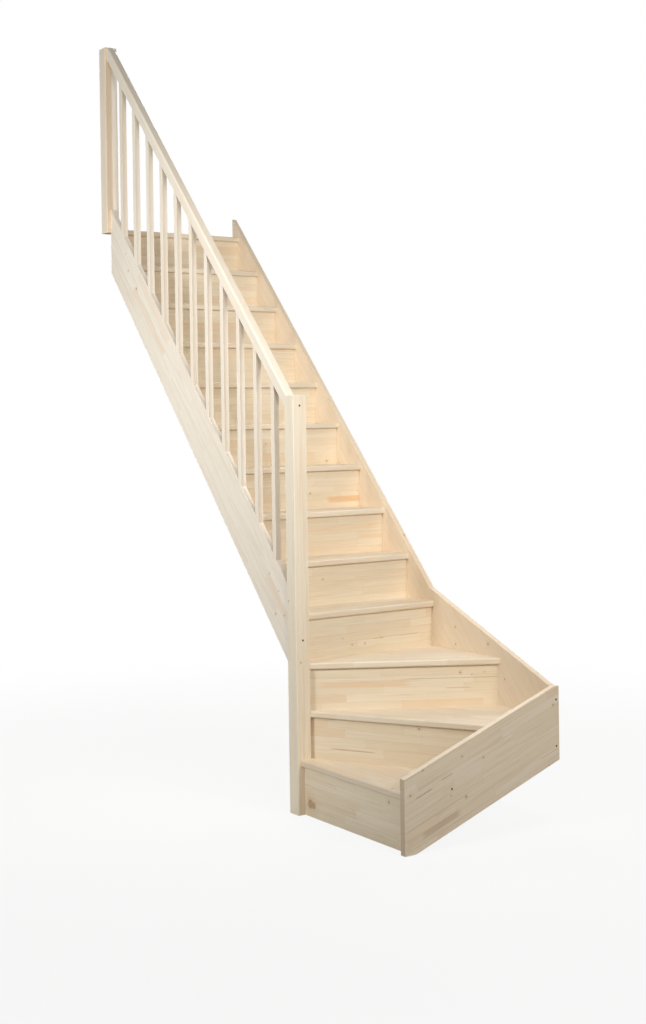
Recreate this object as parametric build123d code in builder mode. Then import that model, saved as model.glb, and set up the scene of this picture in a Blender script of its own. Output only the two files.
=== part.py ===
from build123d import *
import os
from math import atan, cos, radians, sin, tan

# Quarter-turn winder staircase in pine: three kite winders, a straight flight with closed risers,
# and a balustrade between two newels on the inner side.
# Millimetres, +Z up. The origin is the centre of the start newel's foot, on the floor.
# The first step is taken along +X, the straight flight climbs along +Y beside the wall string at +X.

# Steps
rise = 210.0  # from tread to tread
first_step_extra = 28.0  # the first step is one tread thickness taller than the others
going = 189.6  # from riser to riser on the straight flight
step_count = 13
first_straight = 4
winder_turns = (0.0, 30.0, 60.0)  # degrees between each winder's riser and the first one
first_straight_nosing = 10.0  # behind the newel centre
nosing_overhang = 17.0
nosing_radius = 7.0
tread_thickness = 28.0
riser_thickness = 14.0
riser_tongue = 8.0  # top edge of a riser let into the tread above
landing_nosing_depth = 74.0
step_seat = 10.0  # depth of the housings in strings and newel

# Plan
clear_width = 754.0  # from the inner string to the wall string
winder_depth = 768.0  # from the newel centre to the front string

# Strings
string_thickness = 28.0
string_edge_radius = 3.0
inner_string_width = 233.0
inner_string_margin = 50.0  # upper edge above the nosings
wall_string_width = 233.0
wall_string_margin = 17.5
wall_string_bend = 30.0  # bend in its upper edge, behind the first straight nosing
front_string_end_height = 303.5  # at the first step
front_string_foot = 56.0  # length that stands on the floor
front_string_heel = 90.0  # radius between its foot and its lower edge
front_string_pitch = 19.0  # degrees

# Balustrade
newel_side = 70.0
newel_edge_radius = 3.0
newel_top_chamfer = 2.5
newel_drop = 17.0  # end of the top newel below the landing
rail_above_nosings = 940.0
rail_width = 45.0
rail_height = 48.0
rail_top_radius = 9.0
rail_bottom_radius = 3.0
baluster_side = 28.0
baluster_edge_radius = 2.0
baluster_count = 11

# Faces and levels that follow from the sizes above
slope = rise / going
pitch = atan(slope)
rake = Axis((0, 0, 0), (0, 1, slope))
half_newel = newel_side / 2
newel_seat = half_newel - step_seat
inner_face = string_thickness / 2
inner_seat = inner_face - step_seat
wall_face = inner_face + clear_width
wall_outer_face = wall_face + string_thickness
wall_seat = wall_face + step_seat
front_seat = -winder_depth - step_seat
last_nosing = first_straight_nosing + (step_count - first_straight) * going
top_newel_front = last_nosing + nosing_overhang + riser_thickness
top_newel_y = top_newel_front + half_newel
landing_back = last_nosing + landing_nosing_depth
inside_newel = newel_side - half_newel / 2
plan_reach = wall_outer_face + winder_depth + landing_back


def tread_top(step):
    return step * rise + first_step_extra


def tread_bottom(step):
    return tread_top(step) - tread_thickness


def nosing_line(y):
    return tread_top(first_straight) + (y - first_straight_nosing) * slope


def inner_string_top(y):
    return nosing_line(y) + inner_string_margin / cos(pitch)


def inner_string_bottom(y):
    return inner_string_top(y) - inner_string_width / cos(pitch)


def wall_string_top(y):
    return nosing_line(y) + wall_string_margin / cos(pitch)


def wall_string_bottom(y):
    return wall_string_top(y) - wall_string_width / cos(pitch)


def rail_top(y):
    return nosing_line(y) + rail_above_nosings


def rail_bottom(y):
    return rail_top(y) - rail_height / cos(pitch)


def riser_turn(step):
    return radians(winder_turns[step - 1] if step < first_straight else 90.0)


def uphill(step):
    return Vector(cos(riser_turn(step)), sin(riser_turn(step)), 0)


def outward(step):
    return Vector(sin(riser_turn(step)), -cos(riser_turn(step)), 0)


# The first riser stands under the newel centre, the other winders' nosings meet the newel's corner
def nosing_start(step):
    if step == 1:
        return Vector(-nosing_overhang, -half_newel, 0)
    if step < first_straight:
        return Vector(half_newel, -half_newel, 0)
    return Vector(half_newel, first_straight_nosing + (step - first_straight) * going, 0)


def riser_start(step):
    return nosing_start(step) + uphill(step) * nosing_overhang


# A plan strip of any depth behind a line that runs from inside the newel to beyond the outer strings
def strip(start, step, depth):
    inner = start - outward(step) * inside_newel
    outer = start + outward(step) * plan_reach
    behind = uphill(step) * depth
    return [(point.X, point.Y) for point in (inner, outer, outer + behind, inner + behind)]


# Plan area of all the steps, into the housings of strings and newel
step_area = [
    (-half_newel, front_seat),
    (wall_seat, front_seat),
    (wall_seat, landing_back),
    (half_newel, landing_back),
    (half_newel, top_newel_front),
    (inner_seat, top_newel_front),
    (inner_seat, half_newel),
    (newel_seat, half_newel),
    (newel_seat, -newel_seat),
    (-half_newel, -newel_seat),
]
# Corner of the newel that the risers leave whole
newel_corner = [(0, newel_seat), (half_newel, newel_seat), (half_newel, half_newel), (0, half_newel)]


def make_riser(step):
    bottom = tread_bottom(step - 1) if step > 1 else 0.0
    with BuildPart() as riser:
        with BuildSketch(Plane.XY.offset(bottom)):
            Polygon(*strip(riser_start(step), step, riser_thickness), align=None)
            Polygon(*step_area, align=None, mode=Mode.INTERSECT)
            Polygon(*newel_corner, align=None, mode=Mode.SUBTRACT)
        extrude(amount=tread_bottom(step) + riser_tongue - bottom)
        if step > 1:
            add(risers[-1], mode=Mode.SUBTRACT)
    riser.part.label = f"riser_{step:02d}"
    return riser.part


def make_tread(step):
    with BuildPart() as tread:
        with BuildSketch(Plane.XY.offset(tread_bottom(step))):
            Polygon(*strip(nosing_start(step), step, plan_reach), align=None)
            Polygon(*step_area, align=None, mode=Mode.INTERSECT)
            if step < step_count:
                Polygon(*strip(riser_start(step + 1), step + 1, -plan_reach), align=None, mode=Mode.INTERSECT)
        extrude(amount=tread_thickness)
        edges = tread.edges().filter_by(Axis((0, 0, 0), outward(step)))
        fillet(edges.sort_by(Axis((0, 0, 0), uphill(step)))[:2], nosing_radius)
        add(risers[step - 1], mode=Mode.SUBTRACT)
    tread.part.label = f"tread_{step:02d}" if step < step_count else "landing_nosing"
    return tread.part


steps = range(1, step_count + 1)
risers = []
for step in steps:
    risers.append(make_riser(step))
treads = [make_tread(step) for step in steps]

# Inner string, housed for the steps, butted between the newels
with BuildPart() as inner_string:
    with BuildSketch(Plane.YZ.offset(-inner_face)):
        Polygon(
            (half_newel, inner_string_bottom(half_newel)),
            (top_newel_front, inner_string_bottom(top_newel_front)),
            (top_newel_front, inner_string_top(top_newel_front)),
            (half_newel, inner_string_top(half_newel)),
            align=None,
        )
    extrude(amount=string_thickness)
    fillet(inner_string.edges().filter_by(rake), string_edge_radius)
    for piece in risers[first_straight - 1:] + treads[first_straight - 1:]:
        add(piece, mode=Mode.SUBTRACT)
inner_string.part.label = "inner_string"

# Front string, standing on the floor at its outer end and covering the end of the wall string
front_slope = tan(radians(front_string_pitch))
foot_end = front_string_foot - half_newel
corner_lower = (wall_outer_face - foot_end) * front_slope
corner_height = front_string_end_height + (wall_face + half_newel) * front_slope
with BuildPart() as front_string:
    with BuildSketch(Plane.XZ.offset(winder_depth)):
        Polygon(
            (-half_newel, 0),
            (foot_end, 0),
            (wall_outer_face, corner_lower),
            (wall_outer_face, corner_height),
            (wall_face, corner_height),
            (-half_newel, front_string_end_height),
            align=None,
        )
    extrude(amount=string_thickness)
    heel = front_string.edges().filter_by(Axis.Y).sort_by_distance((foot_end, -winder_depth, 0))[0]
    fillet(heel, front_string_heel)
    climb = Axis((0, 0, 0), (1, 0, front_slope))
    fillet(front_string.edges().filter_by(climb).sort_by(Axis.Z)[2:], string_edge_radius)
    for piece in risers[:first_straight] + treads[:first_straight]:
        add(piece, mode=Mode.SUBTRACT)
front_string.part.label = "front_string"

# Wall string, bent beside the winders, notched at the top over the edge of the upper floor
upper_bend = first_straight_nosing + wall_string_bend
bend_slope = (wall_string_top(upper_bend) - corner_height) / (upper_bend + winder_depth)
lower_bend = (corner_lower + winder_depth * bend_slope - wall_string_bottom(0)) / (slope - bend_slope)
with BuildPart() as wall_string:
    with BuildSketch(Plane.YZ.offset(wall_face)):
        Polygon(
            (-winder_depth, corner_lower),
            (lower_bend, wall_string_bottom(lower_bend)),
            (top_newel_front, wall_string_bottom(top_newel_front)),
            (top_newel_front, tread_bottom(step_count)),
            (landing_back, tread_bottom(step_count)),
            (landing_back, wall_string_top(landing_back)),
            (upper_bend, wall_string_top(upper_bend)),
            (-winder_depth, corner_height),
            align=None,
        )
    extrude(amount=string_thickness)
    lower_climb = Axis((0, 0, 0), (0, 1, bend_slope))
    upper_edges = wall_string.edges().filter_by(rake).sort_by(Axis.Z)[2:]
    lower_edges = wall_string.edges().filter_by(lower_climb).sort_by(Axis.Z)[2:]
    fillet(upper_edges + lower_edges, string_edge_radius)
    for piece in risers + treads:
        add(piece, mode=Mode.SUBTRACT)
wall_string.part.label = "wall_string"


def make_newel(y, bottom, top):
    with BuildPart() as newel:
        with BuildSketch(Plane.XY.offset(bottom)):
            with Locations((0, y)):
                RectangleRounded(newel_side, newel_side, newel_edge_radius)
        extrude(amount=top - bottom)
        chamfer(newel.faces().sort_by(Axis.Z)[-1].edges(), newel_top_chamfer)
        for piece in risers[:first_straight] + treads[:first_straight]:
            add(piece, mode=Mode.SUBTRACT)
    return newel.part


newel_post = make_newel(0, 0, rail_top(half_newel))
newel_post.label = "newel_post"
top_newel = make_newel(top_newel_y, tread_top(step_count) - newel_drop, rail_top(top_newel_front))
top_newel.label = "top_newel"

# Handrail, cut plumb between the newels
with BuildPart() as handrail:
    with BuildSketch(Plane.YZ.offset(-rail_width / 2)):
        Polygon(
            (half_newel, rail_bottom(half_newel)),
            (top_newel_front, rail_bottom(top_newel_front)),
            (top_newel_front, rail_top(top_newel_front)),
            (half_newel, rail_top(half_newel)),
            align=None,
        )
    extrude(amount=rail_width)
    long_edges = handrail.edges().filter_by(rake).sort_by(Axis.Z)
    fillet(long_edges[2:], rail_top_radius)
    fillet(handrail.edges().filter_by(rake).sort_by(Axis.Z)[:2], rail_bottom_radius)
handrail.part.label = "handrail"


def make_baluster(number):
    run = top_newel_front - half_newel
    gap = (run - baluster_count * baluster_side) / (baluster_count + 1)
    front = half_newel + gap + (number - 1) * (gap + baluster_side)
    back = front + baluster_side
    with BuildPart() as baluster:
        with BuildSketch(Plane.YZ.offset(-baluster_side / 2)):
            Polygon(
                (front, inner_string_top(front)),
                (back, inner_string_top(back)),
                (back, rail_bottom(back)),
                (front, rail_bottom(front)),
                align=None,
            )
        extrude(amount=baluster_side)
        fillet(baluster.edges().filter_by(Axis.Z), baluster_edge_radius)
    baluster.part.label = f"baluster_{number:02d}"
    return baluster.part


balusters = [make_baluster(number) for number in range(1, baluster_count + 1)]

os.makedirs("parts", exist_ok=True)
strings = [inner_string.part, wall_string.part, front_string.part]
for piece in [newel_post, top_newel, handrail.part] + strings + balusters + treads + risers:
    export_step(piece, f"parts/{piece.label}.step")
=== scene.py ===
import functools
import math
import random
import bpy
from mathutils import Matrix, Vector


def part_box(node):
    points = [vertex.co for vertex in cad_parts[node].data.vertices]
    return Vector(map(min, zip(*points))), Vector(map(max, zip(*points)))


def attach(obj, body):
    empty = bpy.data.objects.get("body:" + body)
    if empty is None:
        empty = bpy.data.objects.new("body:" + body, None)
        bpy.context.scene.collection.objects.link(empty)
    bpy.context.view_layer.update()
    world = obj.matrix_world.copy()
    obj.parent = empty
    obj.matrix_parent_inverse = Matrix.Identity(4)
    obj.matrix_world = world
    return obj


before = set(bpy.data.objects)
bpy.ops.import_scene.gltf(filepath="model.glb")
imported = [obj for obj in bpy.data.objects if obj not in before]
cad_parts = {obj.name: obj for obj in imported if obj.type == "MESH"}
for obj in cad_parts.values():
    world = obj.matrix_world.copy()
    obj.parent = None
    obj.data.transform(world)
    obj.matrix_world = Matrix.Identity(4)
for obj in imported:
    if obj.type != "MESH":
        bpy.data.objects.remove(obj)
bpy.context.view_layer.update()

scene = bpy.context.scene
scene.view_settings.view_transform = "Standard"
bpy.ops.object.select_all(action="DESELECT")

# Camera, solved from the edges of the steps, strings and newels
cameraPlace = {
    "place": (-3.5763, -5.4481, 1.7341),
    "yaw": 34.364,  # degrees, from +Y towards +X
    "pitch": -0.159,
    "roll": -0.8505,
    "focalPixels": 1484.5,
    "centre": (323.3, 421.9),  # pixels, from the top left
    "picture": (646, 1024),
    "sensor": 36.0,  # millimetres
    "reach": 60.0,
}


def addCamera():
    wide, high = cameraPlace["picture"]
    centreAcross, centreDown = cameraPlace["centre"]
    yaw, pitch, roll = (math.radians(cameraPlace[angle]) for angle in ("yaw", "pitch", "roll"))
    ahead = Vector((math.sin(yaw) * math.cos(pitch), math.cos(yaw) * math.cos(pitch), math.sin(pitch)))
    right = Vector((math.cos(yaw), -math.sin(yaw), 0))
    up = right.cross(ahead)
    rightRolled = math.cos(roll) * right + math.sin(roll) * up
    upRolled = -math.sin(roll) * right + math.cos(roll) * up
    bpy.ops.object.camera_add()
    camera = bpy.context.object
    camera.name = "photoCamera"
    turn = Matrix((rightRolled, upRolled, -ahead)).transposed()
    camera.matrix_world = Matrix.Translation(Vector(cameraPlace["place"])) @ turn.to_4x4()
    camera.data.sensor_fit = "AUTO"
    camera.data.sensor_width = cameraPlace["sensor"]
    camera.data.lens = cameraPlace["sensor"] * cameraPlace["focalPixels"] / high
    camera.data.shift_x = (wide / 2 - centreAcross) / high
    camera.data.shift_y = (centreDown - high / 2) / high
    camera.data.clip_end = cameraPlace["reach"]
    scene.camera = camera


addCamera()
print("camera placed")


# A colour of 0 to 255 a channel, as linear light
def paint(red, green, blue):
    channels = [value / 255 for value in (red, green, blue)]
    return tuple(((c + 0.055) / 1.055) ** 2.4 if c > 0.04045 else c / 12.92 for c in channels) + (1.0,)


# Small helpers for node trees: a value is a number, a colour or another node's output
def feed(tree, socket, value):
    if isinstance(value, bpy.types.NodeSocket):
        tree.links.new(value, socket)
    elif value is not None:
        socket.default_value = value


def maths(tree, operation, *values, clamp=False):
    node = tree.nodes.new("ShaderNodeMath")
    node.operation = operation
    node.use_clamp = clamp
    for socket, value in zip(node.inputs, values):
        feed(tree, socket, value)
    return node.outputs[0]


def vectorMaths(tree, operation, first, second=None):
    node = tree.nodes.new("ShaderNodeVectorMath")
    node.operation = operation
    feed(tree, node.inputs[0], first)
    feed(tree, node.inputs[1], second)
    return node.outputs["Value" if operation in ("DOT_PRODUCT", "LENGTH", "DISTANCE") else "Vector"]


def inverted(tree, value):
    return maths(tree, "SUBTRACT", 1.0, value)


def between(tree, share, low, high):
    return maths(tree, "MULTIPLY_ADD", share, high - low, low)


def extreme(tree, operation, values, start):
    return functools.reduce(lambda one, other: maths(tree, operation, one, other), values, start)


def joined(tree, x, y, z):
    node = tree.nodes.new("ShaderNodeCombineXYZ")
    for socket, value in zip(node.inputs, (x, y, z)):
        feed(tree, socket, value)
    return node.outputs[0]


def parted(tree, kind, value):
    node = tree.nodes.new(kind)
    feed(tree, node.inputs[0], value)
    return node.outputs


def blended(tree, factor, first, second):
    node = tree.nodes.new("ShaderNodeMix")
    node.data_type = "RGBA"
    feed(tree, node.inputs[0], factor)
    feed(tree, node.inputs[6], first)
    feed(tree, node.inputs[7], second)
    return node.outputs[2]


# 0 below the low end of the range, 1 above its high end, smooth in between
def spread(tree, value, ends):
    node = tree.nodes.new("ShaderNodeMapRange")
    node.interpolation_type = "SMOOTHSTEP"
    feed(tree, node.inputs["Value"], value)
    feed(tree, node.inputs["From Min"], ends[0])
    feed(tree, node.inputs["From Max"], ends[1])
    return node.outputs["Result"]


def noise(tree, vector, detail=2.0, roughness=0.5, scale=1.0):
    node = tree.nodes.new("ShaderNodeTexNoise")
    feed(tree, node.inputs["Vector"], vector)
    feed(tree, node.inputs["Scale"], scale)
    feed(tree, node.inputs["Detail"], detail)
    feed(tree, node.inputs["Roughness"], roughness)
    return node.outputs["Fac"]


def scattered(tree, dimensions, vector):
    node = tree.nodes.new("ShaderNodeTexWhiteNoise")
    node.noise_dimensions = dimensions
    feed(tree, node.inputs["Vector"], vector)
    return node


# Planed pine: glued staves with finger joints, growth rings, fibres, streaks and knots. Sizes in metres
pineGrain = {
    "fingerPitch": 0.0044,
    "fingerLength": 0.009,
    "rowOffset": 9.0,  # most staves by which a row's joints lie beside the next row's
    "glueLine": 0.0007,
    "knotSpacing": 0.17,
    "knotStretch": 0.72,  # under 1 for knots drawn out along the grain
    "knotRadius": (0.0022, 0.0062),
    "knotWobble": (0.5, 160.0),  # share of the radius, waves a metre
    "knotEdge": (0.55, 1.1),  # in radii, as is the halo's edge
    "haloEdge": (0.9, 3.2),
    "farKnot": 9.0,  # reach on a piece without placed knots
    "noKnot": 50.0,  # added where a cell has no knot
    "ringPitch": 0.0046,
    "ringSharpness": 2.4,
    "ringWander": 0.022,
    "ringKnotWander": 0.004,
    "pithAside": (-0.045, 0.045),
    "pithBelow": (0.006, 0.076),
    "amberScattered": 0.25,  # strength of an amber stave that isn't placed one by one
    "streakFibres": (1.2, 0.1),  # share of a placed streak that follows the fibres, and share all over
    "endGrainEdge": (0.75, 0.95),  # cosine between the face's normal and the grain
    "bump": 0.22,
    "bumpHeight": 0.0006,
    "refraction": 1.45,
}
# Noise in the wood: waves a metre along the grain and across it, detail, roughness
pineNoise = {
    "ring": (1.7, 11.0, 2.0, 0.5),
    "fibre": (14.0, 620.0, 2.0, 0.6),
    "streak": (2.6, 62.0, 3.0, 0.6),
    "hair": (5.0, 190.0, 1.0, 0.5),
    "cloud": (1.6, 5.0, 2.0, 0.5),
}
# Range of the noise in which a mark sets in
pineOnset = {
    "streak": (0.46, 0.76),
    "hair": (0.66, 0.8),
    "cloud": (0.3, 0.7),
    "fibreTone": (0.4, 0.75),
}
# How far noise moves along the grain from stave to stave
staveShift = {
    "ring": 40.0,
    "streak": 60.0,
    "hair": 80.0,
}
# Marks in the order they are laid on: strength and colour, where a word is an input of the board
pineLayers = {
    "cloud": (0.35, "Warm"),
    "amber": (1.0, "Amber"),
    "streak": ("Streak Strength", "Late"),
    "hair": (0.26, paint(176, 142, 106)),
    "placedStreak": (1.0, paint(168, 134, 94)),
    "ring": ("Ring Strength", "Late"),
    "fibreTone": (0.12, "Late"),
    "halo": (0.3, paint(212, 180, 134)),
    "knot": (0.7, paint(160, 122, 82)),
    "glue": (0.4, paint(168, 130, 92)),
    "endGrain": (0.6, paint(190, 166, 134)),
}
pineRoughness = {"base": 0.5, "fibre": 0.16, "endGrain": 0.12, "knot": -0.12}
pineHeight = {"base": 0.0, "ring": 0.5, "fibre": 0.6, "glue": -1.2, "knot": 0.5}
pineInputs = {
    "NodeSocketVector": ("Place",),
    "NodeSocketColor": ("Pale", "Warm", "Amber", "Late"),
    "NodeSocketFloat": (
        "Facing", "Seed", "Stave Width", "Stave Length", "Stave Contrast", "Amber Share", "Knot Share",
        "Ring Strength", "Streak Strength", "Placed Knot", "Placed Stave", "Placed Streak",
    ),
}
pineOutputs = {"NodeSocketColor": ("Color",), "NodeSocketFloat": ("Roughness", "Height")}


def woodNoise(tree, place, kind, shift=0.0, sideways=0.0):
    along, across, through = place
    alongScale, acrossScale, detail, roughness = pineNoise[kind]
    vector = joined(tree, maths(tree, "MULTIPLY_ADD", along, alongScale, shift),
                    maths(tree, "MULTIPLY_ADD", across, acrossScale, sideways),
                    maths(tree, "MULTIPLY_ADD", through, acrossScale, sideways))
    return noise(tree, vector, detail, roughness)


# Rows across the board, each cut into staves that meet in finger joints
def staveCells(tree, given, along, across, edgeways):
    rowPlace = maths(tree, "DIVIDE", across, given["Stave Width"])
    row = maths(tree, "FLOOR", rowPlace)
    rowChance = scattered(tree, "2D", joined(tree, row, given["Seed"], 0.0)).outputs["Value"]
    halfPitch = pineGrain["fingerPitch"] / 2
    finger = maths(tree, "MULTIPLY", maths(tree, "PINGPONG", edgeways, halfPitch),
                   pineGrain["fingerLength"] / halfPitch)
    cut = maths(tree, "DIVIDE", maths(tree, "ADD", along, finger), given["Stave Length"])
    cut = maths(tree, "MULTIPLY_ADD", rowChance, pineGrain["rowOffset"], cut)
    stave = maths(tree, "FLOOR", cut)
    chances = scattered(tree, "3D", joined(tree, stave, row, given["Seed"])).outputs["Color"]
    return maths(tree, "FRACT", rowPlace), maths(tree, "FRACT", cut), chances


def glueLines(tree, given, rowPart, stavePart):
    edges = []
    for part, size in ((rowPart, "Stave Width"), (stavePart, "Stave Length")):
        edge = maths(tree, "MINIMUM", part, inverted(tree, part))
        edges.append(maths(tree, "MULTIPLY", edge, given[size]))
    return maths(tree, "LESS_THAN", maths(tree, "MINIMUM", *edges), pineGrain["glueLine"] / 2)


# Distance from the nearest knot, scattered or listed, in radii of the knot
def knotReach(tree, given, along, edgeways):
    perMetre = 1 / pineGrain["knotSpacing"]
    cells = tree.nodes.new("ShaderNodeTexVoronoi")
    cells.voronoi_dimensions = "2D"
    alongCells = maths(tree, "MULTIPLY_ADD", along, pineGrain["knotStretch"] * perMetre, given["Seed"])
    acrossCells = maths(tree, "MULTIPLY_ADD", edgeways, perMetre, given["Seed"])
    feed(tree, cells.inputs["Vector"], joined(tree, alongCells, acrossCells, 0.0))
    feed(tree, cells.inputs["Scale"], 1.0)
    present, size, _ = parted(tree, "ShaderNodeSeparateColor", cells.outputs["Color"])
    radius = between(tree, size, *(radius * perMetre for radius in pineGrain["knotRadius"]))
    reach = maths(tree, "DIVIDE", cells.outputs["Distance"], radius)
    missing = maths(tree, "GREATER_THAN", present, given["Knot Share"])
    reach = maths(tree, "MULTIPLY_ADD", missing, pineGrain["noKnot"], reach)
    reach = maths(tree, "MINIMUM", reach, given["Placed Knot"])
    amount, scale = pineGrain["knotWobble"]
    wobble = noise(tree, given["Place"], scale=scale)
    return maths(tree, "MULTIPLY_ADD", wobble, amount, maths(tree, "SUBTRACT", reach, amount / 2))


# Growth rings round a pith that lies beside each stave, warped along the grain and round knots
def growthRings(tree, given, place, rowPart, chances, halo):
    along, across, through = place
    tone, aside, below = chances
    local = maths(tree, "MULTIPLY", maths(tree, "SUBTRACT", rowPart, 0.5), given["Stave Width"])
    pithAcross = between(tree, aside, *pineGrain["pithAside"])
    pithThrough = between(tree, below, *pineGrain["pithBelow"])
    offPith = vectorMaths(tree, "LENGTH", joined(tree, 0.0, maths(tree, "SUBTRACT", local, pithAcross),
                                                 maths(tree, "SUBTRACT", through, pithThrough)))
    wander = woodNoise(tree, place, "ring", maths(tree, "MULTIPLY", tone, staveShift["ring"]))
    warp = maths(tree, "MULTIPLY_ADD", wander, pineGrain["ringWander"], offPith)
    warp = maths(tree, "MULTIPLY_ADD", halo, pineGrain["ringKnotWander"], warp)
    wave = maths(tree, "SINE", maths(tree, "MULTIPLY", warp, 2 * math.pi / pineGrain["ringPitch"]))
    return maths(tree, "POWER", maths(tree, "MULTIPLY_ADD", wave, 0.5, 0.5), pineGrain["ringSharpness"])


def summed(tree, masks, weights):
    total = weights["base"]
    for name, weight in weights.items():
        if name != "base":
            total = maths(tree, "MULTIPLY_ADD", masks[name], weight, total)
    return total


def buildPineGroup():
    tree = bpy.data.node_groups.new("pineGrain", "ShaderNodeTree")
    for way, sockets in (("INPUT", pineInputs), ("OUTPUT", pineOutputs)):
        for kind, names in sockets.items():
            for name in names:
                tree.interface.new_socket(name=name, in_out=way, socket_type=kind)
    given = tree.nodes.new("NodeGroupInput").outputs
    seed = given["Seed"]
    place = parted(tree, "ShaderNodeSeparateXYZ", given["Place"])
    along, across, through = place
    edgeways = maths(tree, "ADD", across, through)

    rowPart, stavePart, chance = staveCells(tree, given, along, across, edgeways)
    chances = parted(tree, "ShaderNodeSeparateColor", chance)
    tone, aside, below = chances
    reach = knotReach(tree, given, along, edgeways)
    masks = {
        "glue": glueLines(tree, given, rowPart, stavePart),
        "knot": inverted(tree, spread(tree, reach, pineGrain["knotEdge"])),
        "halo": inverted(tree, spread(tree, reach, pineGrain["haloEdge"])),
        "endGrain": spread(tree, given["Facing"], pineGrain["endGrainEdge"]),
        "fibre": woodNoise(tree, place, "fibre"),
    }
    masks["ring"] = growthRings(tree, given, place, rowPart, chances, masks["halo"])
    masks["fibreTone"] = spread(tree, masks["fibre"], pineOnset["fibreTone"])
    shifts = {
        "streak": (maths(tree, "MULTIPLY", tone, staveShift["streak"]), 0.0),
        "hair": (maths(tree, "MULTIPLY", aside, staveShift["hair"]), 0.0),
        "cloud": (seed, seed),
    }
    for kind, (shift, sideways) in shifts.items():
        masks[kind] = spread(tree, woodNoise(tree, place, kind, shift, sideways), pineOnset[kind])
    amber = maths(tree, "LESS_THAN", below, given["Amber Share"])
    amber = maths(tree, "MULTIPLY", amber, pineGrain["amberScattered"])
    masks["amber"] = maths(tree, "MAXIMUM", amber, given["Placed Stave"])
    broken = maths(tree, "MULTIPLY_ADD", masks["fibre"], *pineGrain["streakFibres"], clamp=True)
    masks["placedStreak"] = maths(tree, "MULTIPLY", given["Placed Streak"], broken)

    centred = maths(tree, "SUBTRACT", tone, 0.5)
    staveTone = maths(tree, "MULTIPLY_ADD", centred, given["Stave Contrast"], 0.5, clamp=True)
    colour = blended(tree, staveTone, given["Pale"], given["Warm"])
    for kind, (strength, tint) in pineLayers.items():
        strength, tint = (given[value] if isinstance(value, str) else value for value in (strength, tint))
        colour = blended(tree, maths(tree, "MULTIPLY", masks[kind], strength), colour, tint)

    left = tree.nodes.new("NodeGroupOutput").inputs
    feed(tree, left["Color"], colour)
    feed(tree, left["Roughness"], summed(tree, masks, pineRoughness))
    feed(tree, left["Height"], summed(tree, masks, pineHeight))
    return tree


pineGroup = buildPineGroup()

# Colours and grain of the five kinds of piece; the paler, greyer newel and rail colours are partly painted
# highlight standing for their brightly lit faces; widths and lengths in metres, a very long stave has no
# joint
pineTonesAndPaintedLight = {
    # newel and rail: pine colour made paler and greyer, partly painted highlight
    "newel_pine": {
        "Pale": paint(240, 231, 213), "Warm": paint(228, 212, 186), "Amber": paint(222, 188, 148),
        "Late": paint(205, 176, 140), "Stave Width": 0.036, "Stave Length": 30.0, "Amber Share": 0.0,
        "Stave Contrast": 0.5, "Ring Strength": 0.11, "Streak Strength": 0.28, "Knot Share": 0.03,
    },
    "string_pine": {
        "Pale": paint(234, 223, 205), "Warm": paint(224, 208, 184), "Amber": paint(224, 190, 150),
        "Late": paint(205, 174, 140), "Stave Width": 0.041, "Stave Length": 0.47, "Amber Share": 0.05,
        "Stave Contrast": 0.55, "Ring Strength": 0.16, "Streak Strength": 0.3, "Knot Share": 0.16,
    },
    "rail_pine": {
        "Pale": paint(238, 229, 214), "Warm": paint(229, 215, 195), "Amber": paint(226, 198, 160),
        "Late": paint(212, 188, 156), "Stave Width": 0.6, "Stave Length": 30.0, "Amber Share": 0.0,
        "Stave Contrast": 0.5, "Ring Strength": 0.14, "Streak Strength": 0.25, "Knot Share": 0.03,
    },
    "riser_pine": {
        "Pale": paint(235, 223, 200), "Warm": paint(225, 207, 178), "Amber": paint(224, 184, 138),
        "Late": paint(202, 168, 128), "Stave Width": 0.036, "Stave Length": 0.36, "Amber Share": 0.07,
        "Stave Contrast": 0.75, "Ring Strength": 0.12, "Streak Strength": 0.24, "Knot Share": 0.08,
    },
    "tread_pine": {
        "Pale": paint(232, 220, 198), "Warm": paint(220, 203, 178), "Amber": paint(222, 184, 144),
        "Late": paint(198, 166, 132), "Stave Width": 0.04, "Stave Length": 0.42, "Amber Share": 0.05,
        "Stave Contrast": 0.6, "Ring Strength": 0.16, "Streak Strength": 0.3, "Knot Share": 0.08,
    },
}
# Pieces that differ from the rest of their kind; the paler top newel and inner string are partly painted
# light standing for their brightly lit faces
pieceTonesAndPaintedLight = {
    "front_string": {"Pale": paint(234, 222, 203), "Warm": paint(223, 206, 180), "Streak Strength": 0.4},
    # inner string: painted paler and greyer, partly painted highlight of its brightly lit face
    "inner_string": {"Pale": paint(240, 231, 217), "Warm": paint(231, 218, 199),
                     "Stave Contrast": 0.35, "Ring Strength": 0.12},
    "wall_string": {"Pale": paint(230, 213, 189), "Warm": paint(221, 201, 173),
                    "Stave Contrast": 0.4, "Ring Strength": 0.08, "Streak Strength": 0.2},
    # top newel: painted paler, as painted light for the light the lamps give it too little of
    "top_newel": {"Pale": paint(246, 240, 228), "Warm": paint(238, 227, 210)},
}

# Directions that the grain follows
grainWays = {
    "rise": 0.21,  # as in the part's source
    "going": 0.1896,
    "frontPitch": 19.0,  # degrees
    "winderTurns": {1: 0.0, 2: 30.0, 3: 60.0},  # degrees
    "straightTurn": 90.0,
    "landingStep": 13,
}
rakeAngle = math.atan2(grainWays["rise"], grainWays["going"])


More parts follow.
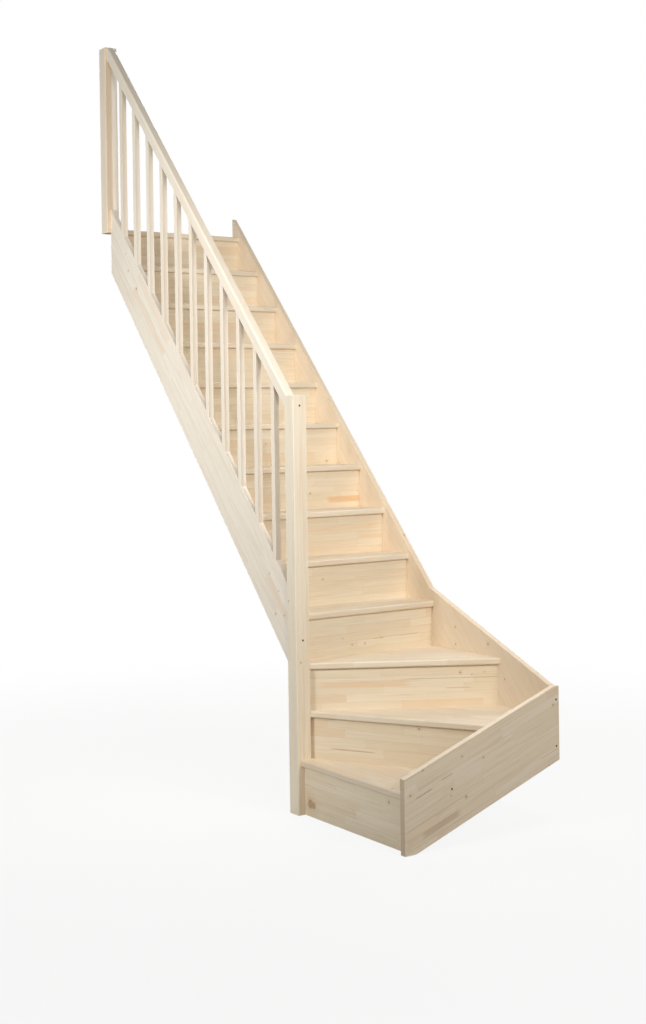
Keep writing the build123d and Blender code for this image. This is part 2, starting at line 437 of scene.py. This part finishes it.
def grainOf(name):
    kind, _, number = name.rpartition("_")
    if kind in ("riser", "tread") or name == "landing_nosing":
        step = int(number) if number.isdigit() else grainWays["landingStep"]
        turn = math.radians(grainWays["winderTurns"].get(step, grainWays["straightTurn"]))
        outward = Vector((math.sin(turn), -math.cos(turn), 0))
        uphill = Vector((math.cos(turn), math.sin(turn), 0))
        return outward, Vector((0, 0, 1)) if kind == "riser" else uphill
    if name in ("inner_string", "wall_string", "handrail"):
        rakeWay = Vector((0, math.cos(rakeAngle), math.sin(rakeAngle)))
        rakeNormal = Vector((0, -math.sin(rakeAngle), math.cos(rakeAngle)))
        return rakeWay, Vector((1, 0, 0)) if name == "handrail" else rakeNormal
    if name == "front_string":
        pitch = math.radians(grainWays["frontPitch"])
        return Vector((math.cos(pitch), 0, math.sin(pitch))), Vector((-math.sin(pitch), 0, math.cos(pitch)))
    return Vector((0, 0, 1)), Vector((1, 0, 0))


def slotOf(name):
    if "newel" in name:
        return "newel_pine"
    if "string" in name:
        return "string_pine"
    if name == "handrail" or name.startswith("baluster"):
        return "rail_pine"
    return "riser_pine" if name.startswith("riser") else "tread_pine"


# Knots that stand out: place and radius in metres
placedKnots = {
    "front_string": [
        ((0.279, -0.796, 0.189), 0.006), ((0.261, -0.796, 0.355), 0.0045), ((0.374, -0.796, 0.335), 0.0045),
        ((0.059, -0.796, 0.328), 0.004), ((0.7625, -0.796, 0.503), 0.0055), ((0.201, -0.796, 0.205), 0.003),
    ],
    "riser_01": [
        ((0.0, -0.076, 0.055), 0.024), ((0.0, -0.1, 0.052), 0.018), ((0.0, -0.646, 0.180), 0.006),
    ],
    "riser_03": [
        ((0.622, -0.354, 0.597), 0.0055), ((0.667, -0.380, 0.587), 0.003), ((0.716, -0.409, 0.5965), 0.003),
    ],
    "riser_04": [
        ((0.308, 0.027, 0.706), 0.004), ((0.379, 0.027, 0.7055), 0.004), ((0.473, 0.027, 0.723), 0.003),
    ],
    "riser_07": [((0.472, 0.5958, 1.364), 0.005)],
    "riser_08": [((0.340, 0.7854, 1.609), 0.004)],
    "wall_string": [
        ((0.768, -0.146, 0.762), 0.005), ((0.768, -0.147, 0.683), 0.005),
        ((0.768, -0.374, 0.711), 0.006), ((0.768, -0.483, 0.568), 0.004),
    ],
    "newel_post": [
        ((-0.012, -0.035, 0.666), 0.004), ((-0.035, 0.021, 0.932), 0.004), ((-0.035, 0.030, 1.112), 0.003),
    ],
    "inner_string": [
        ((-0.014, 1.554, 2.522), 0.005), ((-0.014, 1.463, 2.419), 0.007), ((-0.014, 1.580, 2.612), 0.003),
        ((-0.014, 0.161, 0.860), 0.005), ((-0.014, 0.134, 0.965), 0.003), ((-0.014, 0.090, 0.860), 0.004),
    ],
}
# Staves and streaks that stand out: middle, half length, half width, strength
placedStaves = {
    "riser_03": [((0.246, -0.137, 0.557), 0.194, 0.014, 0.45)],
    "riser_06": [((0.549, 0.4062, 1.204), 0.190, 0.0115, 0.4), ((0.700, 0.4062, 1.154), 0.072, 0.008, 0.35)],
    "riser_07": [((0.678, 0.5958, 1.330), 0.100, 0.014, 0.85)],
    "top_newel": [((-0.0175, 1.7474, 3.2), 0.9, 0.0175, 0.6)],
}
placedStreaks = {
    "front_string": [
        ((0.150, -0.796, 0.099), 0.095, 0.013, 0.6), ((0.064, -0.796, 0.234), 0.042, 0.0022, 0.9),
        ((0.182, -0.796, 0.284), 0.03, 0.002, 0.9), ((0.124, -0.796, 0.142), 0.16, 0.0016, 0.6),
        ((0.740, -0.796, 0.300), 0.05, 0.0014, 0.6),
    ],
    "riser_02": [((0.146, -0.192, 0.287), 0.1, 0.003, 0.7)],
    "riser_03": [((0.588, -0.334, 0.574), 0.2, 0.0018, 0.7), ((0.613, -0.349, 0.530), 0.055, 0.002, 0.6)],
    "riser_04": [((0.456, 0.027, 0.722), 0.03, 0.002, 0.6), ((0.630, 0.027, 0.724), 0.058, 0.0016, 0.6)],
}
# Where a placed mark fades, as shares of its half length and half width
markFade = {"ends": (0.8, 1.2), "sides": (0.7, 1.3)}
# How far each piece's grain is moved at random, in metres
grainShift = {
    "along": 3.0,
    "across": 0.02,
    "oneTimber": 0.3,  # half a stave, so that no glue line shows
}


def boardMark(tree, place, along, across, middle, longHalf, wideHalf, strength):
    off = vectorMaths(tree, "SUBTRACT", place, middle)
    past = []
    for way, half, fade in ((along, longHalf, "ends"), (across, wideHalf, "sides")):
        distance = maths(tree, "ABSOLUTE", vectorMaths(tree, "DOT_PRODUCT", off, tuple(way)))
        past.append(spread(tree, distance, [half * share for share in markFade[fade]]))
    return maths(tree, "MULTIPLY", inverted(tree, maths(tree, "MAXIMUM", *past)), strength)


def grainStart(name, number):
    chance = random.Random(number)
    if slotOf(name) == "newel_pine":
        return Vector((0, 0, 0))
    along = chance.uniform(0, grainShift["along"])
    if slotOf(name) == "rail_pine":
        return Vector((along, grainShift["oneTimber"], 0))
    return Vector((along, chance.uniform(0, grainShift["across"]), 0))


def pineMaterial(name, number):
    along, across = grainOf(name)
    material = bpy.data.materials.new(f"pine_{name}")
    material.use_nodes = True
    tree = material.node_tree
    shader = tree.nodes["Principled BSDF"]
    coordinates = tree.nodes.new("ShaderNodeTexCoord").outputs
    onPiece = coordinates["Object"]
    mapping = tree.nodes.new("ShaderNodeMapping")
    rows = Matrix((along, across, along.cross(across)))
    low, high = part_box(name)
    middle = (Vector(low) + Vector(high)) / 2
    mapping.inputs["Rotation"].default_value = rows.to_euler("XYZ")
    mapping.inputs["Location"].default_value = grainStart(name, number) - rows @ middle
    tree.links.new(onPiece, mapping.inputs["Vector"])
    board = tree.nodes.new("ShaderNodeGroup")
    board.node_tree = pineGroup
    for socket, value in (pineTonesAndPaintedLight[slotOf(name)] | pieceTonesAndPaintedLight.get(name, {})).items():
        board.inputs[socket].default_value = value
    board.inputs["Seed"].default_value = float(number)
    tree.links.new(mapping.outputs[0], board.inputs["Place"])
    facing = vectorMaths(tree, "DOT_PRODUCT", coordinates["Normal"], tuple(along))
    tree.links.new(maths(tree, "ABSOLUTE", facing), board.inputs["Facing"])
    knots = []
    for place, radius in placedKnots.get(name, []):
        knots.append(maths(tree, "DIVIDE", vectorMaths(tree, "DISTANCE", onPiece, place), radius))
    feed(tree, board.inputs["Placed Knot"], extreme(tree, "MINIMUM", knots, pineGrain["farKnot"]))
    for socket, places in (("Placed Stave", placedStaves), ("Placed Streak", placedStreaks)):
        marks = [boardMark(tree, onPiece, along, across, *mark) for mark in places.get(name, [])]
        feed(tree, board.inputs[socket], extreme(tree, "MAXIMUM", marks, 0.0))
    tree.links.new(board.outputs["Color"], shader.inputs["Base Color"])
    tree.links.new(board.outputs["Roughness"], shader.inputs["Roughness"])
    bump = tree.nodes.new("ShaderNodeBump")
    bump.inputs["Strength"].default_value = pineGrain["bump"]
    bump.inputs["Distance"].default_value = pineGrain["bumpHeight"]
    tree.links.new(board.outputs["Height"], bump.inputs["Height"])
    tree.links.new(bump.outputs[0], shader.inputs["Normal"])
    shader.inputs["IOR"].default_value = pineGrain["refraction"]
    return material


for number, name in enumerate(sorted(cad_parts)):
    wood = pineMaterial(name, number)
    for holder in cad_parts[name].material_slots:
        holder.material = wood
print("pine on", len(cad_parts), "pieces")

# Screws through the newel and the front string into their neighbours
screwHead = {
    "sides": 36,
    "radius": 0.0047,
    "proud": 0.0002,  # above the face
    "deep": 0.003,
    "rim": (0.0004, 0.00025),  # width and rise of the rounded rim
    "dish": 0.0001,
    "socketRadius": 0.0024,
    "socketDeep": 0.0022,
    "socketFloor": (0.0006, 0.0004),  # width and depth of the slope at its floor
    "darkSteel": paint(62, 50, 34),
    "wornSteel": paint(98, 80, 54),
    "wearScale": 900.0,
    "wearEdge": (0.35, 0.7),
    "roughness": (0.4, 0.6),
    "metallic": 0.6,
    "places": [
        ((0.0, -0.035, 1.789), "newel_pine"),
        ((0.0, -0.035, 0.762), "newel_pine"),
        ((0.780, -0.796, 0.524), "string_pine"),
        ((0.779, -0.796, 0.326), "string_pine"),
        ((0.206, -0.796, 0.231), "string_pine"),
    ],
}


def screwMaterial():
    material = bpy.data.materials.new("blackedSteel")
    material.use_nodes = True
    tree = material.node_tree
    shader = tree.nodes["Principled BSDF"]
    coordinates = tree.nodes.new("ShaderNodeTexCoord").outputs
    patches = noise(tree, coordinates["Object"], 3.0, 0.6, screwHead["wearScale"])
    worn = spread(tree, patches, screwHead["wearEdge"])
    steel = blended(tree, worn, screwHead["darkSteel"], screwHead["wornSteel"])
    tree.links.new(steel, shader.inputs["Base Color"])
    tree.links.new(between(tree, worn, *screwHead["roughness"]), shader.inputs["Roughness"])
    shader.inputs["Metallic"].default_value = screwHead["metallic"]
    return material


def selectTopFace(mesh):
    for face in mesh.polygons:
        face.select = face.normal.z > 0.9 and face.center.z > 0
    for edge in mesh.edges:
        edge.select = False
    for vertex in mesh.vertices:
        vertex.select = False


def addScrew():
    rimWide, rimRise = screwHead["rim"]
    floorWide, floorDeep = screwHead["socketFloor"]
    bpy.ops.object.select_all(action="DESELECT")
    bpy.ops.mesh.primitive_cylinder_add(vertices=screwHead["sides"], radius=screwHead["radius"],
                                        depth=screwHead["deep"], location=(0, 0, 0))
    head = bpy.context.object
    bpy.ops.object.mode_set(mode="EDIT")
    bpy.ops.mesh.select_mode(type="FACE")
    bpy.ops.mesh.select_all(action="DESELECT")
    bpy.ops.object.mode_set(mode="OBJECT")
    selectTopFace(head.data)
    bpy.ops.object.mode_set(mode="EDIT")
    bpy.ops.mesh.inset(thickness=rimWide, depth=rimRise)
    bpy.ops.mesh.inset(thickness=screwHead["radius"] - rimWide - screwHead["socketRadius"],
                       depth=-screwHead["dish"])
    bpy.ops.mesh.extrude_region_move(TRANSFORM_OT_translate={"value": (0, 0, -screwHead["socketDeep"])})
    bpy.ops.mesh.inset(thickness=floorWide, depth=-floorDeep)
    bpy.ops.object.mode_set(mode="OBJECT")
    bpy.ops.transform.rotate(value=math.radians(90), orient_axis="X", center_override=(0, 0, 0))
    bpy.ops.object.transform_apply(location=True, rotation=True, scale=True)
    return head


def placeScrews():
    first = addScrew()
    steel = screwMaterial()
    lowest = min(vertex.co.y for vertex in first.data.vertices)
    for number, (place, slot) in enumerate(screwHead["places"], 1):
        bpy.ops.object.select_all(action="DESELECT")
        first.select_set(True)
        bpy.context.view_layer.objects.active = first
        bpy.ops.object.duplicate(linked=False)
        screw = bpy.context.object
        screw.name = f"screw_{number}"
        screw.location = Vector(place) - Vector((0, lowest + screwHead["proud"], 0))
        bpy.ops.object.transform_apply(location=True, rotation=True, scale=True)
        screw.data.materials.clear()
        screw.data.materials.append(steel)
        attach(screw, "root")
    bpy.data.objects.remove(first)


placeScrews()
print("screws placed")

# Studio: pale floor, white background, soft lamps
studio = {
    "floorSide": 60.0,  # metres
    "floorPaint": paint(214, 212, 208),
    "floorRoughness": 0.9,
    "floorWhite": 0.88,  # share of the white background in the floor
    "floorFade": (1.5, 4.5),  # metres from the origin, where the floor turns all white
    "ambient": 0.09,
    "lamps": [
        # place, target, size, watts, beam in degrees, colour
        ((-4.9, -0.4, 2.9), (0.05, 0.9, 2.3), 1.2, 52, 82, (0.93, 0.97, 1.0)),  # left
        ((0.8, -4.4, 2.8), (0.3, 0.1, 1.5), 0.9, 21, 84, (1.0, 0.985, 0.955)),  # front
        ((-1.7, -4.3, 3.2), (0.1, 0.9, 2.4), 0.9, 16, 72, (1.0, 0.985, 0.955)),  # front left
        ((0.4, -1.4, 6.0), (0.3, -0.3, 0.3), 1.8, 11, 60, (1.0, 1.0, 1.0)),  # overhead
        ((2.6, 4.6, 5.2), (0.2, 1.2, 2.0), 2.4, 70, 110, (1.0, 1.0, 1.0)),  # back
        ((6.0, 0.6, 2.6), (0.3, 0.4, 1.4), 2.4, 45, 100, (1.0, 1.0, 1.0)),  # wall side
    ],
}


# 1 for rays that show the background, 0 for those that light the stair
def seenStraight(tree):
    rays = tree.nodes.new("ShaderNodeLightPath").outputs
    seen = maths(tree, "MAXIMUM", rays["Is Camera Ray"], rays["Is Glossy Ray"])
    return maths(tree, "MAXIMUM", seen, rays["Is Transmission Ray"])


def addFloor():
    bpy.ops.object.select_all(action="DESELECT")
    bpy.ops.mesh.primitive_grid_add(x_subdivisions=8, y_subdivisions=8, size=studio["floorSide"],
                                    location=(0, 0, 0))
    floor = bpy.context.object
    floor.name = "floor"
    material = bpy.data.materials.new("paleFloor")
    material.use_nodes = True
    tree = material.node_tree
    shader = tree.nodes["Principled BSDF"]
    shader.inputs["Base Color"].default_value = studio["floorPaint"]
    shader.inputs["Roughness"].default_value = studio["floorRoughness"]
    shader.inputs["Specular IOR Level"].default_value = 0.0
    white = tree.nodes.new("ShaderNodeEmission")
    white.inputs["Color"].default_value = (1, 1, 1, 1)
    coordinates = tree.nodes.new("ShaderNodeTexCoord").outputs
    far = spread(tree, vectorMaths(tree, "LENGTH", coordinates["Object"]), studio["floorFade"])
    share = between(tree, far, studio["floorWhite"], 1.0)
    mix = tree.nodes.new("ShaderNodeMixShader")
    feed(tree, mix.inputs[0], maths(tree, "MULTIPLY", share, seenStraight(tree)))
    tree.links.new(shader.outputs[0], mix.inputs[1])
    tree.links.new(white.outputs[0], mix.inputs[2])
    tree.links.new(mix.outputs[0], tree.nodes["Material Output"].inputs["Surface"])
    floor.data.materials.append(material)


def lightStudio():
    world = bpy.data.worlds.new("whiteRoom")
    world.use_nodes = True
    tree = world.node_tree
    background = tree.nodes["Background"]
    background.inputs["Color"].default_value = (1, 1, 1, 1)
    feed(tree, background.inputs["Strength"], between(tree, seenStraight(tree), studio["ambient"], 1.0))
    scene.world = world
    for number, (place, target, size, watts, beam, colour) in enumerate(studio["lamps"], 1):
        bpy.ops.object.light_add(type="AREA", location=place)
        lamp = bpy.context.object
        lamp.name = f"softLamp_{number}"
        lamp.data.shape = "SQUARE"
        lamp.data.size = size
        lamp.data.energy = watts
        lamp.data.spread = math.radians(beam)
        lamp.data.color = colour
        lamp.rotation_euler = (Vector(target) - Vector(place)).to_track_quat("-Z", "Y").to_euler()


addFloor()
lightStudio()
print("studio lit")
